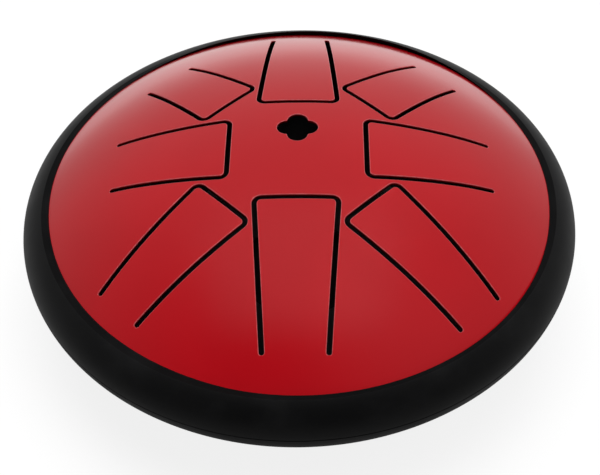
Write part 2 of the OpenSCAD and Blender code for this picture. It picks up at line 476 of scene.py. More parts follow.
@dataclass(frozen=True)
class ShellProfile:
    """Side view of one pressed shell: crown, shoulder and turned edge, above the joint.

    Attributes:
        radius: the shell's radius at the joint.
        crown: radius of the crown's curve.
        crown_angle: slope where the crown runs into the shoulder.
        shoulder: radius of the shoulder's curve.
        edge: radius of the turned edge.
        wall: thickness of the sheet.
        joint_z: height of the joint above the table.
    """

    radius: float = 122.5 * MM
    crown: float = 262 * MM
    crown_angle: float = math.radians(15)
    shoulder: float = 160 * MM
    edge: float = 14 * MM
    wall: float = 1.5 * MM
    joint_z: float = 47.746 * MM

    @property
    def shoulder_x(self) -> float:
        """Distance of the shoulder's centre from the axis."""
        return (self.crown - self.shoulder) * math.sin(self.crown_angle)

    @property
    def edge_x(self) -> float:
        """Distance of the turned edge's centre from the axis."""
        return self.radius - self.edge

    @property
    def shoulder_z(self) -> float:
        """Height of the shoulder's centre above the joint, below zero."""
        return -math.sqrt((self.shoulder - self.edge) ** 2 - (self.edge_x - self.shoulder_x) ** 2)

    @property
    def crown_z(self) -> float:
        """Height of the crown's centre above the joint, below zero."""
        return self.shoulder_z - (self.crown - self.shoulder) * math.cos(self.crown_angle)

    @property
    def shoulder_end(self) -> float:
        """Slope where the shoulder runs into the turned edge."""
        return math.atan2(self.edge_x - self.shoulder_x, -self.shoulder_z)

    def slope(self, r: float, inset: float = 0.0) -> float:
        """Slope of the surface at a distance from the axis.

        Args:
            r: distance from the axis.
            inset: depth below the outer surface.

        Returns:
            The angle between the surface's normal and straight up.
        """
        if r <= (self.crown - inset) * math.sin(self.crown_angle):
            return math.asin(r / (self.crown - inset))
        if r <= self.at(self.shoulder_end, inset)[0]:
            return math.asin((r - self.shoulder_x) / (self.shoulder - inset))
        return math.asin(min(1.0, (r - self.edge_x) / (self.edge - inset)))

    def at(self, slope: float, inset: float = 0.0) -> Point:
        """Finds where the surface has a slope.

        Args:
            slope: angle between the surface's normal and straight up.
            inset: depth below the outer surface.

        Returns:
            Distance from the axis and height above the joint.
        """
        if slope <= self.crown_angle:
            x, z, radius = 0.0, self.crown_z, self.crown
        elif slope <= self.shoulder_end:
            x, z, radius = self.shoulder_x, self.shoulder_z, self.shoulder
        else:
            x, z, radius = self.edge_x, 0.0, self.edge
        return x + (radius - inset) * math.sin(slope), z + (radius - inset) * math.cos(slope)

    def height(self, r: float, inset: float = 0.0) -> float:
        """Height of the surface above the joint at a distance from the axis."""
        return self.at(self.slope(r, inset), inset)[1]

    def point(self, x: float, y: float, inset: float = 0.0) -> Vector:
        """The point of the upper shell over a place in plan."""
        return Vector((x, y, self.joint_z + self.height(math.hypot(x, y), inset)))

    def normal(self, x: float, y: float) -> Vector:
        """Finds the upper shell's outward normal.

        Args:
            x: place in plan.
            y: place in plan.

        Returns:
            The unit normal.
        """
        r = math.hypot(x, y)
        slope = self.slope(r)
        share = math.sin(slope) / r if r > 0 else 0.0
        return Vector((x * share, y * share, math.cos(slope)))


SHELL = ShellProfile()


def link(
    name: str, mesh: bpy.types.Mesh, finishes: list[Finish], replaced: str
) -> bpy.types.Object:
    """Makes an object of a mesh and dresses it.

    Args:
        name: the piece's name.
        mesh: its mesh.
        finishes: finishes in the order of the mesh's material indices.
        replaced: the node that the piece stands for.

    Returns:
        The object, not yet on a body.
    """
    piece = bpy.data.objects.new(name, mesh)
    bpy.context.scene.collection.objects.link(piece)
    for finish in finishes:
        mesh.materials.append(finish.material())
    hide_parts(replaced)
    log.info("%s: %d faces", name, len(mesh.polygons))
    return piece


def arc(centre: Point, radius: float, start: float, stop: float, steps: int) -> list[Point]:
    """Points of an arc.

    Args:
        centre: the arc's centre.
        radius: its radius.
        start: first angle in radians, from the first axis.
        stop: last angle.
        steps: number of steps.

    Returns:
        steps + 1 points.
    """
    angles = [start + (stop - start) * i / steps for i in range(steps + 1)]
    return [(centre[0] + radius * math.cos(a), centre[1] + radius * math.sin(a)) for a in angles]


def rounded(points: list[Point], radii: list[float], steps: int = 5) -> list[Point]:
    """Rounds the corners of an open path.

    Args:
        points: the path's corners.
        radii: one radius per corner; 0 keeps a corner, and the ends are always kept.
        steps: steps in each rounded corner.

    Returns:
        The path's points.
    """
    path = [points[0]]
    for before, corner, after, radius in zip(points, points[1:], points[2:], radii[1:]):
        if radius <= 0:
            path.append(corner)
            continue
        q = Vector(corner)
        u = (Vector(before) - q).normalized()
        v = (Vector(after) - q).normalized()
        half = u.angle(v) / 2
        middle = q + (u + v).normalized() * radius / math.sin(half)
        start = q + u * radius / math.tan(half) - middle
        sweep = math.copysign(math.pi - 2 * half, start.y * u.x - start.x * u.y)
        first = math.atan2(start.y, start.x)
        path += arc((middle.x, middle.y), radius, first, first + sweep, steps)
    return path + [points[-1]]


def lathe(
    name: str, count: int, steps: int, place: Callable[[int, float], Vector], sharp: float
) -> bpy.types.Mesh:
    """Turns a closed section about an axis.

    Args:
        name: the mesh's name.
        count: points of the section.
        steps: steps round the axis.
        place: takes a point's number and an angle and returns the point in space.
        sharp: angle in degrees above which an edge stays crisp.

    Returns:
        The mesh, facing outwards.
    """
    verts = [place(i, 2 * math.pi * k / steps) for k in range(steps) for i in range(count)]
    faces = [
        (k * count + i, (k + 1) % steps * count + i,
         (k + 1) % steps * count + (i + 1) % count, k * count + (i + 1) % count)
        for k in range(steps) for i in range(count)
    ]
    mesh = bpy.data.meshes.new(name)
    mesh.from_pydata(verts, [], faces)
    if sum(face.center.dot(face.normal) * face.area for face in mesh.polygons) < 0:
        mesh.flip_normals()
    mesh.shade_smooth()
    mesh.set_sharp_from_angle(angle=math.radians(sharp))
    return mesh


@dataclass
class CutEdge:
    """A closed cut through the steel, with a rounded upper rim.

    Attributes:
        points: the cut's wall in plan.
        rims: radius of the rounded rim at each point.
        side: 1 if the steel lies to the left of the path, -1 if to the right.
    """

    points: list[Vector]
    rims: list[float]
    side: int

    RIM = 0.4 * MM
    FLUSH = 0.012 * MM
    STEPS = 4
    LONGEST_MITRE = 0.5

    @classmethod
    def along(
        cls, corners: list[tuple[Vector, float]], side: int, pitch: float = 2.5 * MM
    ) -> "CutEdge":
        """Makes an edge with points no further apart than a pitch.

        Args:
            corners: points in plan with their rim radii.
            side: where the steel lies.
            pitch: longest distance between points.

        Returns:
            The edge.
        """
        points: list[Vector] = []
        rims: list[float] = []
        for (a, rim_a), (b, rim_b) in zip(corners, corners[1:] + corners[:1]):
            parts = max(1, math.ceil((b - a).length / pitch))
            for i in range(parts):
                points.append(a.lerp(b, i / parts))
                rims.append(rim_a + (rim_b - rim_a) * i / parts)
        return cls(points, rims, side)

    def inward(self) -> list[Vector]:
        """Finds the directions into the steel.

        Returns:
            One vector for each point, longer at corners so that offsets stay parallel.
        """
        out = []
        count = len(self.points)
        for i, point in enumerate(self.points):
            before = (point - self.points[i - 1]).normalized()
            after = (self.points[(i + 1) % count] - point).normalized()
            a = Vector((-before.y, before.x)) * self.side
            b = Vector((-after.y, after.x)) * self.side
            middle = (a + b).normalized()
            out.append(middle / max(self.LONGEST_MITRE, middle.dot(a)))
        return out

    def ring(self, share: float) -> list[Vector]:
        """Plan of the rim, from 0 on the surface to 1 at the wall."""
        lift = 1 - math.sin(share * QUARTER_TURN)
        return [p + n * rim * lift for p, n, rim in zip(self.points, self.inward(), self.rims)]

    def depth(self, i: int, share: float) -> float:
        """Depth of the rim below the surface at a point."""
        return self.rims[i] * (1 - math.cos(share * QUARTER_TURN))


class SteelPlate:
    """A piece of the upper shell between cut edges, as one closed mesh."""

    BORDER_STEPS = 360
    TURN_STEPS = 8
    ROW_PITCH = math.sqrt(3) / 2
    CLEARANCE = 0.55
    TOLERANCE = 1e-9

    def __init__(self, edges: list[CutEdge], border: bool, pitch: float) -> None:
        """Keeps the cuts.

        Args:
            edges: the cuts; without a border the first one bounds the plate.
            border: True if the plate runs on under the band to the joint.
            pitch: distance between the points of the surface.
        """
        self.edges = edges
        self.border = border
        self.pitch = pitch
        self.verts: list[Vector] = []
        self.normals: list[Vector] = []
        self.edge_marks: list[float] = []
        self.faces: list[tuple[int, ...]] = []
        self.inner_faces: list[tuple[int, ...]] = []

    def _add(self, place: Vector, normal: Vector, mark: float = 0.0) -> int:
        """Adds a vertex.

        Args:
            place: the vertex.
            normal: its normal, of any length.
            mark: how far it belongs to a cut edge, from 0 to 1; it drives the paler edge paint and
                painted highlight.

        Returns:
            Its index.
        """
        self.verts.append(place)
        self.normals.append(normal.normalized())
        self.edge_marks.append(mark)
        return len(self.verts) - 1

    def _plan(self) -> tuple[list[Vector], list[list[int]]]:
        """Points in plan: the surface loops, the border and the lattice between them.

        Returns:
            The points, and the indices of each loop.
        """
        plan: list[Vector] = []
        loops: list[list[int]] = []
        for edge in self.edges:
            loops.append(list(range(len(plan), len(plan) + len(edge.points))))
            plan += edge.ring(0.0)
        if self.border:
            r = SHELL.at(SHELL.shoulder_end)[0]
            loops.append(list(range(len(plan), len(plan) + self.BORDER_STEPS)))
            border = arc((0.0, 0.0), r, 0.0, 2 * math.pi, self.BORDER_STEPS)[:-1]
            plan += [Vector(p) for p in border]
        plan += self._lattice(plan)
        return plan, loops

    def _lattice(self, rims: list[Vector]) -> list[Vector]:
        """Fills the plan with a triangular lattice.

        Args:
            rims: the points of the loops, which the lattice keeps clear of.

        Returns:
            The lattice's points.
        """
        known = np.array([(p.x, p.y) for p in rims])
        low, high = known.min(0), known.max(0)
        rows = int((high[1] - low[1]) / (self.pitch * self.ROW_PITCH)) + 2
        columns = int((high[0] - low[0]) / self.pitch) + 2
        points = []
        for row in range(rows):
            for column in range(columns):
                x = low[0] + (column + 0.5 * (row % 2)) * self.pitch
                y = low[1] + row * self.pitch * self.ROW_PITCH
                if np.hypot(*(known - (x, y)).T).min() > self.CLEARANCE * self.pitch:
                    points.append(Vector((x, y)))
        return points

    @staticmethod
    def _holds(plan: list[Vector], loops: list[list[int]], places: np.ndarray) -> np.ndarray:
        """Finds which places lie in the steel, by the even-odd rule over all loops.

        Args:
            plan: the points in plan.
            loops: the indices of each loop.
            places: places in plan, one in each row.

        Returns:
            True for each place in the steel.
        """
        inside = np.zeros(len(places), bool)
        for loop in loops:
            ring = np.array([(plan[i].x, plan[i].y) for i in loop])
            for (ax, ay), (bx, by) in zip(ring, np.roll(ring, -1, 0)):
                crosses = (ay > places[:, 1]) != (by > places[:, 1])
                if ay != by:
                    at = ax + (places[:, 1] - ay) / (by - ay) * (bx - ax)
                    inside ^= crosses & (places[:, 0] < at)
        return inside

    def build(self, name: str) -> bpy.types.Mesh:
        """Makes the mesh.

        Args:
            name: the mesh's name.

        Returns:
            A closed mesh, with material 0 outside and 1 on the underside.
        """
        plan, loops = self._plan()
        fixed = [(a, b) for loop in loops for a, b in zip(loop, loop[1:] + loop[:1])]
        points, _, triangles, origin, _, _ = delaunay_2d_cdt(plan, fixed, [], 0, self.TOLERANCE)
        source = [o[0] for o in origin]
        centres = np.array([
            [sum(points[i].x for i in t) / 3, sum(points[i].y for i in t) / 3] for t in triangles
        ])
        kept = [t for t, good in zip(triangles, self._holds(plan, loops, centres)) if good]
        top = [self._add(SHELL.point(p.x, p.y), SHELL.normal(p.x, p.y)) for p in plan]
        low_plan = list(plan)
        for edge, loop in zip(self.edges, loops):
            for i, point in zip(loop, edge.points):
                low_plan[i] = point
        low = [
            self._add(SHELL.point(p.x, p.y, SHELL.wall), -SHELL.normal(p.x, p.y)) for p in low_plan
        ]
        for t in kept:
            a, b, c = (source[i] for i in t)
            self.faces.append((top[a], top[b], top[c]))
            self.inner_faces.append((low[c], low[b], low[a]))
        for edge, loop in zip(self.edges, loops):
            self._add_cut(edge, [top[i] for i in loop], [low[i] for i in loop])
        if self.border:
            self._add_turned_edge([top[i] for i in loops[-1]], [low[i] for i in loops[-1]])
        return self._mesh(name)

    def _strip(self, upper: list[int], lower: list[int], side: int, inner: bool = False) -> None:
        """Joins two rings with four-sided faces.

        Args:
            upper: the first ring's vertices.
            lower: the second ring's vertices.
            side: which way the faces look, 1 or -1.
            inner: True if the faces belong to the underside.
        """
        for i in range(len(upper)):
            j = (i + 1) % len(upper)
            face = (upper[i], lower[i], lower[j], upper[j])
            (self.inner_faces if inner else self.faces).append(face if side > 0 else face[::-1])

    def _add_cut(self, edge: CutEdge, top: list[int], low: list[int]) -> None:
        """Adds a cut's rounded rim and wall.

        Args:
            edge: the cut.
            top: the surface's vertices along it.
            low: the underside's vertices along it.
        """
        inward = edge.inward()
        above = top
        for step in range(1, edge.STEPS + 1):
            share = step / edge.STEPS
            ring = []
            for i, place in enumerate(edge.ring(share)):
                flat = SHELL.normal(place.x, place.y)
                away = Vector((-inward[i].x, -inward[i].y, 0.0)).normalized()
                angle = share * QUARTER_TURN
                normal = flat * math.cos(angle) + away * math.sin(angle)
                # The mark peaks halfway round the rounded rim and drives the paler paint and
                # painted highlight there.
                mark = math.sin(share * math.pi) * edge.rims[i] / edge.RIM
                point = SHELL.point(place.x, place.y, edge.depth(i, share))
                ring.append(self._add(point, normal, mark))
            self._strip(above, ring, edge.side)
            above = ring
        self._strip(above, low, edge.side)

    def _add_turned_edge(self, top: list[int], low: list[int]) -> None:
        """Adds the edge that turns down to the joint, under the band.

        Args:
            top: the surface's vertices along the border.
            low: the underside's vertices along the border.
        """
        count = len(top)
        start = SHELL.shoulder_end
        sweep = QUARTER_TURN - start
        slopes = [start + sweep * i / self.TURN_STEPS for i in range(1, self.TURN_STEPS + 1)]
        above = top
        path = [(slope, 0.0) for slope in slopes] + [(slope, SHELL.wall) for slope in slopes[::-1]]
        for slope, inset in path:
            r, z = SHELL.at(slope, inset)
            facing = 1 if inset == 0 else -1
            ring = []
            for k in range(count):
                turn = 2 * math.pi * k / count
                out = Vector((math.cos(turn), math.sin(turn), 0.0))
                normal = (out * math.sin(slope) + Vector((0, 0, math.cos(slope)))) * facing
                ring.append(self._add(out * r + Vector((0, 0, SHELL.joint_z + z)), normal))
            self._strip(above, ring, 1, inset > 0)
            above = ring
        self._strip(above, low, 1, True)

    def _mesh(self, name: str) -> bpy.types.Mesh:
        """Makes the mesh with its normals and its edge marks.

        Args:
            name: the mesh's name.

        Returns:
            The mesh.
        """
        mesh = bpy.data.meshes.new(name)
        mesh.from_pydata(self.verts, [], self.faces + self.inner_faces)
        mesh.shade_smooth()
        inner = [0] * len(self.faces) + [1] * len(self.inner_faces)
        mesh.polygons.foreach_set("material_index", inner)
        mesh.normals_split_custom_set_from_vertices(self.normals)
        marks = mesh.attributes.new(EDGE_MARK, "FLOAT", "POINT")
        marks.data.foreach_set("value", self.edge_marks)
        return mesh


@dataclass(frozen=True)
class TonguePlan:
    """One tongue in plan, drawn with its root along -Y and turned to its place.

    Attributes:
        name: its place on the drum.
        turn: angle from the front.
        tip: distance of its free end from the middle.
        width: its width there, along the slot's middle.
        length: from its free end to its root.
        taper: how much it narrows towards its root, per length.
        slot: width of the slot round it.
        corner: rounding of its corners, along the slot's middle.
        run_on: how far its plate runs on past the root.
        bend: length before the root over which it bends.
        corner_steps: steps of a corner.
        end_steps: steps of the slot's round end.
    """

    name: str
    turn: float
    tip: float
    width: float
    length: float
    taper: float = 0.136
    slot: float = 2.2 * MM
    corner: float = 3 * MM
    run_on: float = 3 * MM
    bend: float = 14 * MM
    corner_steps: int = 8
    end_steps: int = 6

    @property
    def root(self) -> float:
        """Distance of the root line from the middle."""
        return self.tip + self.length

    def half_width(self, distance: float, grow: float) -> float:
        """Half the width at a distance from the middle, to a line grown sideways."""
        return (self.width - self.taper * (distance - self.tip)) / 2 + grow

    def _turned(self, x: float, y: float) -> Vector:
        """A point of the drawing at its place on the drum."""
        c, s = math.cos(self.turn), math.sin(self.turn)
        return Vector((c * x - s * y, s * x + c * y))

    def _half(self, grow: float) -> list[Point]:
        """Draws one side, from the root round the corner to the tip's middle.

        Args:
            grow: how far the line lies outside the slot's middle.

        Returns:
            The points.
        """
        tip = self.tip - grow
        corners = [
            (self.half_width(self.root, grow), -self.root),
            (self.half_width(tip, grow), -tip),
            (0.0, -tip),
        ]
        return rounded(corners, [0, self.corner + grow, 0], self.corner_steps)

    def _outline(self, side: int) -> CutEdge:
        """One bank of the slot, closed past the root.

        Args:
            side: 1 for the shell's bank, -1 for the tongue's.

        Returns:
            The cut edge.
        """
        end = self.root + self.run_on
        middle = (self.half_width(self.root, 0.0), -self.root)
        bottom = 3 * QUARTER_TURN
        sweep = side * QUARTER_TURN
        slot_end = arc(middle, self.slot / 2, bottom, bottom + sweep, self.end_steps)
        right = [(self.half_width(end, 0.0), -end, CutEdge.FLUSH), (*slot_end[0], CutEdge.FLUSH)]
        right += [(x, y, CutEdge.RIM) for x, y in slot_end[1:-1] + self._half(side * self.slot / 2)]
        return self._edge(right, side)

    def tongue_edge(self) -> CutEdge:
        """The cut edge of the tongue itself, run on past its root."""
        return self._outline(-1)

    def window_edge(self) -> CutEdge:
        """The cut edge of the shell round the tongue and its run-on."""
        return self._outline(1)

    def _edge(self, right: list[tuple[float, float, float]], side: int) -> CutEdge:
        """Mirrors a right half into a closed cut edge that runs clockwise.

        Args:
            right: the half's points with their rim radii.
            side: where the steel lies.

        Returns:
            The edge.
        """
        left = [(-x, y, rim) for x, y, rim in right]
        whole = left + right[-2::-1]
        return CutEdge.along([(self._turned(x, y), rim) for x, y, rim in whole], side)

    def along(self, distance: float) -> Vector:
        """The surface point on the tongue's middle line at a distance from the drum's middle."""
        place = self._turned(0.0, -distance)
        return SHELL.point(place.x, place.y)


@dataclass(frozen=True)
class Rose:
    """The four-lobed sound hole.

    Attributes:
        width: its width across two opposite lobes.
        lobe: radius of a lobe.
        back: how far its middle lies behind the drum's.
        cusp_cut: share of a lobe's arc that is cut, so that the cusps are blunt.
        steps: steps of a lobe.
        pitch: longest distance between its points.
    """

    width: float = 18.4 * MM
    lobe: float = 4.6 * MM
    back: float = 11.4 * MM
    cusp_cut: float = 0.96
    steps: int = 18
    pitch: float = 1 * MM

    def edge(self) -> CutEdge:
        """Draws the hole.

        Returns:
            Its cut edge, which runs clockwise.
        """
        place = self.width / 2 - self.lobe
        meet = (place + math.sqrt(2 * self.lobe ** 2 - place ** 2)) / 2
        half = math.atan2(meet, meet - place) * self.cusp_cut
        points = []
        for quarter in range(4):
            turn = -quarter * QUARTER_TURN
            for x, y in arc((place, 0.0), self.lobe, half, -half, self.steps):
                points.append(Vector((
                    x * math.cos(turn) - y * math.sin(turn),
                    x * math.sin(turn) + y * math.cos(turn) + self.back,
                )))
        return CutEdge.along([(p, CutEdge.RIM) for p in points], 1, self.pitch)


@dataclass
class PlayingSide:
    """The painted upper shell and its tongues.

    Attributes:
        pitch: distance between the shell's surface points.
        tongue_pitch: distance between a tongue's surface points.
        square_tip: distance of the square-on tongues' free ends from the middle.
        square_w: their width there.
        diagonal_tip: distance of the diagonal tongues' free ends from the middle.
        diagonal_w: their width there.
        square_lengths: lengths of the square-on tongues, anticlockwise.
        diagonal_lengths: lengths of the diagonal tongues, anticlockwise.
        square_names: places of the square-on tongues, anticlockwise.
        diagonal_names: places of the diagonal tongues, anticlockwise.
    """

    pitch: float = 3 * MM
    tongue_pitch: float = 2.5 * MM
    square_tip: float = 30.6 * MM
    square_w: float = 36.4 * MM
    diagonal_tip: float = 44.5 * MM
    diagonal_w: float = 32.1 * MM
    square_lengths: tuple[float, ...] = (68.3 * MM, 55.1 * MM, 68.7 * MM, 51.3 * MM)
    diagonal_lengths: tuple[float, ...] = (62.4 * MM, 47.6 * MM, 43.8 * MM, 59.9 * MM)
    square_names: tuple[str, ...] = ("front", "right", "back", "left")
    diagonal_names: tuple[str, ...] = ("front_right", "back_right", "back_left", "front_left")

    def plans(self) -> list[TonguePlan]:
        """Plans the tongues.

        Returns:
            The square-on ones, then the diagonal ones, each from the front anticlockwise.
        """
        out = []
        for i, (name, length) in enumerate(zip(self.square_names, self.square_lengths)):
            turn = i * QUARTER_TURN
            out.append(TonguePlan(name, turn, self.square_tip, self.square_w, length))
        for i, (name, length) in enumerate(zip(self.diagonal_names, self.diagonal_lengths)):
            turn = QUARTER_TURN / 2 + i * QUARTER_TURN
            out.append(TonguePlan(name, turn, self.diagonal_tip, self.diagonal_w, length))
        return out

    def build(self) -> None:
        """Makes the shell and the tongues."""
        plans = self.plans()
        edges = [plan.window_edge() for plan in plans] + [Rose().edge()]
        mesh = SteelPlate(edges, True, self.pitch).build("upper_shell_skin")
        shell = link("upper_shell_skin", mesh, [Finish.RED, Finish.INSIDE], "top_shell")
        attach(shell, ROOT)
        for plan in plans:
            self._tongue(plan)

    def _tongue(self, plan: TonguePlan) -> None:
        """Makes one tongue.

        Args:
            plan: the tongue.
        """
        node = f"tongue_{plan.name}"
        mesh = SteelPlate([plan.tongue_edge()], False, self.tongue_pitch).build(f"{node}_skin")
        piece = link(f"{node}_skin", mesh, [Finish.RED, Finish.INSIDE], node)
        start, end = plan.along(plan.root), plan.along(plan.root - plan.bend)
        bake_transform(piece)
        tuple(start)
        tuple(end)


@dataclass
class EdgeBand:
    """The rubber band round the joint, with a lip that strays as stretched rubber does.

    Attributes:
        radius: the band's outer radius.
        wall_r: radius of the wall's round section.
        window_r: radius of the lip's inner edge.
        lip_rise: height of that edge above the paint.
        lip_slope: how steeply the lip rises outwards.
        line_w: width of the moulding line.
        line_depth: its depth.
        crease_round: rounding between the lip and the wall.
        seat: gap between the band and the shells.
        slack: how far the lip strays outwards on average.
        sway: cosine and sine parts of the stray, once, twice and three times round.
        ripple: size of the quick part of the stray.
        ripples: how many times that part comes round.
        lower_turn: how far the lower lip's stray is turned from the upper one's.
        sag: how far the top of the wall sags at the back.
        sag_reach: height over which the sag fades out.
        wall_start: angle from the crease to the wall's first point.
        wall_steps: steps of the wall.
        seat_steps: steps along each shell.
        steps: steps round the drum.
        sharp: angle in degrees above which an edge stays crisp.
    """

    radius: float = 127 * MM
    wall_r: float = 14.5 * MM
    window_r: float = 114 * MM
    lip_rise: float = 0.15 * MM
    lip_slope: float = math.radians(9.4)
    line_w: float = 0.6 * MM
    line_depth: float = 0.3 * MM
    crease_round: float = 0.25 * MM
    seat: float = 0.04 * MM
    slack: float = 0.4 * MM
    sway: tuple[Point, ...] = (
        (0.43 * MM, 0.47 * MM), (-0.77 * MM, -0.25 * MM), (-0.4 * MM, -0.25 * MM))
    ripple: float = 0.07 * MM
    ripples: int = 7
    lower_turn: float = 1.7
    sag: float = 1.3 * MM
    sag_reach: float = 5 * MM
    wall_start: float = math.radians(2.5)
    wall_steps: int = 40
    seat_steps: int = 12
    steps: int = 360
    sharp: float = 28.0

    @property
    def lip_h(self) -> float:
        """Height of the lip's inner edge above the joint."""
        return SHELL.height(self.window_r) + self.lip_rise

    def crease(self) -> Point:
        """Finds where the sloping lip meets the rounded wall.

        Returns:
            Distance from the axis and height above the joint.
        """
        centre = self.radius - self.wall_r
        slope = math.tan(self.lip_slope)
        start = self.lip_h - slope * self.window_r
        a, b = 1 + slope ** 2, start * slope - centre
        c = centre ** 2 + start ** 2 - self.wall_r ** 2
        r = (math.sqrt(b * b - a * c) - b) / a
        return r, start + slope * r

    def half_profile(self) -> list[Point]:
        """Draws the upper half of the section.

        Returns:
            Its points, from the lip's inner edge out to the moulding line.
        """
        centre = self.radius - self.wall_r
        crease = self.crease()
        lip_angle = math.atan2(crease[1], crease[0] - centre)
        line_angle = math.asin(self.line_w / 2 / self.wall_r)
        first = lip_angle - self.wall_start
        bulge = arc((centre, 0.0), self.wall_r, first, line_angle, self.wall_steps)
        base = (self.window_r, SHELL.height(self.window_r) + self.seat)
        lip = [base, (self.window_r, self.lip_h), crease, bulge[0]]
        return rounded(lip, [0, 0, self.crease_round, 0]) + bulge[1:]

    def profile(self) -> list[Point]:
        """Draws the whole section.

        Returns:
            Its points, down the outside and then back up along the shells.
        """
        upper = self.half_profile()
        lower = [(r, -z) for r, z in reversed(upper)]
        start = SHELL.slope(self.window_r)
        sweep = QUARTER_TURN - start
        slopes = [start + sweep * i / self.seat_steps for i in range(1, self.seat_steps + 1)]
        seat = [SHELL.at(slope, -self.seat) for slope in slopes]
        back = [(r, -z) for r, z in seat] + seat[-2::-1]
        bottom = (self.radius - self.line_depth, 0.0)
        return upper + [bottom] + lower + back

    def wave(self, turn: float) -> float:
        """Finds how far the lip strays outwards.

        Args:
            turn: the angle from +X.

        Returns:
            The distance.
        """
        terms = enumerate(self.sway, 1)
        sway = sum(c * math.cos(k * turn) + s * math.sin(k * turn) for k, (c, s) in terms)
        return self.slack + sway + self.ripple * math.sin(self.ripples * turn)

    def drop(self, z: float, turn: float) -> float:
        """How far the top of the wall sags at a height and an angle, most at the back."""
        near = max(0.0, min(1.0, 1 - (self.crease()[1] - z) / self.sag_reach))
        return self.sag * near * (0.5 + 0.5 * math.sin(turn)) ** 2

    def build(self) -> None:
        """Makes the band."""
        profile = self.profile()
        upper = len(self.half_profile())
        crease_r = self.crease()[0]

        def place(i: int, turn: float) -> Vector:
            """Places a point of the section, with the lip's wave and the wall's sag.

            Args:
                i: the point's number.
                turn: the angle from +X.

            Returns:
                The point, still seated on the shells where it touches them.
            """
            r, z = profile[i]
            share = max(0.0, min(1.0, (crease_r - r) / (crease_r - self.window_r)))
            moved = r + share * self.wave(turn if z > 0 else turn + self.lower_turn)
            if share == 1 or i > 2 * upper:
                z += math.copysign(SHELL.height(moved) - SHELL.height(r), z)
            if i < upper:
                z -= (1 - share) * self.drop(z, turn)
            return Vector((moved * math.cos(turn), moved * math.sin(turn), SHELL.joint_z + z))

        mesh = lathe("edge_band_rubber", len(profile), self.steps, place, self.sharp)
        lip_r = crease_r - self.crease_round
        for face in mesh.polygons:
            face.material_index = int(math.hypot(face.center.x, face.center.y) < lip_r)
        band = link("edge_band_rubber", mesh, [Finish.BAND, Finish.LIP], "edge_band")
        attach(band, ROOT)


@dataclass
class LowerShell:
    """The black lower shell with its round port.

    Attributes:
        port_r: the port's radius.
        rim: rounding of its rim.
        steps: steps round the drum.
        rings: steps from the port to the joint.
        sharp: angle in degrees above which an edge stays crisp.
    """

    port_r: float = 30 * MM
    rim: float = 0.5 * MM
    steps: int = 240
    rings: int = 60
    sharp: float = 40.0

    def side(self, inset: float) -> list[Point]:
        """Draws one side of the sheet.

        Args:
            inset: depth below the outer surface.

        Returns:
            Its points, from the port out to the joint.
        """
        port = SHELL.slope(self.port_r, inset)
        sweep = QUARTER_TURN - port
        slopes = [port + sweep * i / self.rings for i in range(self.rings + 1)]
        return [SHELL.at(slope, inset) for slope in slopes]

    def profile(self) -> list[Point]:
        """Draws the section.

        Returns:
            Its points, from the joint in to the port and back out inside.
        """
        outer, inner = self.side(0.0)[::-1], self.side(SHELL.wall)
        turn = rounded([outer[-2], outer[-1], inner[0], inner[1]], [0, self.rim, self.rim, 0])
        return outer[:-1] + turn[1:-1] + inner[1:]

    def build(self) -> None:
        """Makes the shell, mirrored below the joint."""
        profile = self.profile()

        def place(i: int, turn: float) -> Vector:
            """A point of the section at an angle."""
            r, z = profile[i]
            return Vector((r * math.cos(turn), r * math.sin(turn), SHELL.joint_z - z))

        mesh = lathe("lower_shell_skin", len(profile), self.steps, place, self.sharp)
        shell = link("lower_shell_skin", mesh, [Finish.BLACK], "bottom_shell")
        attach(shell, ROOT)


